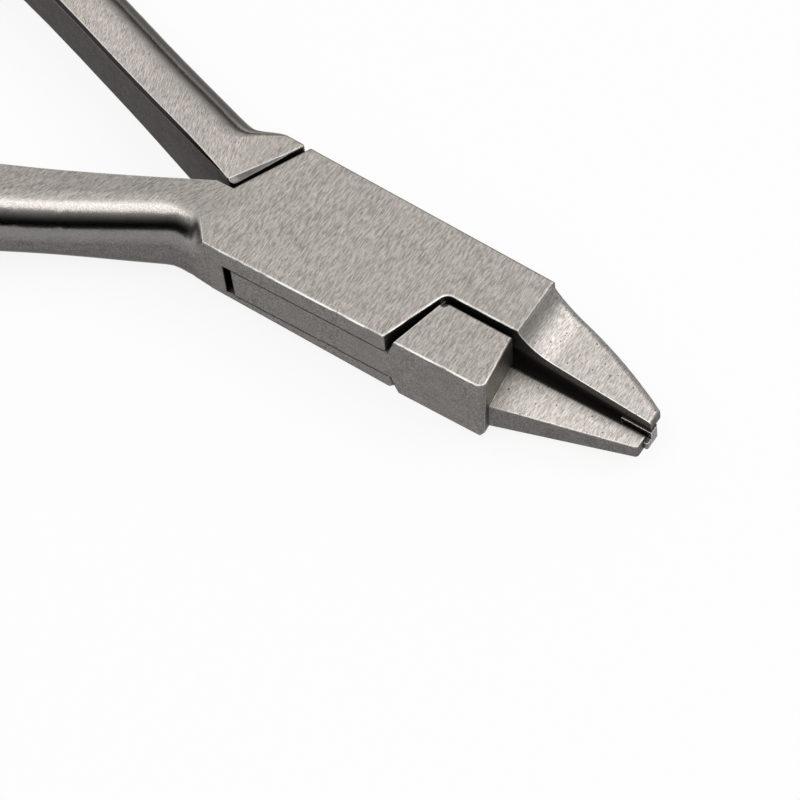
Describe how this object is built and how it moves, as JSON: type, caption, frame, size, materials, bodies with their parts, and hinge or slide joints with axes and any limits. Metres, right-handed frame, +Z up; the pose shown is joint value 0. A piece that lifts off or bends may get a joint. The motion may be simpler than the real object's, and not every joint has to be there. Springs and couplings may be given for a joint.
{
  "type": "orthodontic pliers",
  "caption": "Slim box-joint orthodontic pliers in satin steel, with stepped tapering beaks, hard tip inserts and bowed handles that turn on a flush riveted pin.",
  "frame": {"origin": "where the pivot axis meets the bottom face of the box", "axes": "+X along the box to the tips, +Y to the side of the box half's beak, +Z up along the pivot axis"},
  "size_m": [0.1315, 0.0486, 0.009],
  "materials": {
    "satin_steel": "satin ground stainless steel, fine cross grain",
    "hard_insert": "fine ground hard metal"
  },
  "bodies": {
    "box_body": {"box_half": "satin_steel", "pivot_pin": "satin_steel", "box_tip_insert": "hard_insert"},
    "tongue_body": {"tongue_half": "satin_steel", "tongue_tip_insert": "hard_insert"}
  },
  "joints": [
    {"name": "box_joint", "type": "hinge", "parent": "box_body", "child": "tongue_body", "pos_m": [0, 0, 0.0045], "axis": [0, 0, -1], "range_deg": [0, 50]}
  ]
}
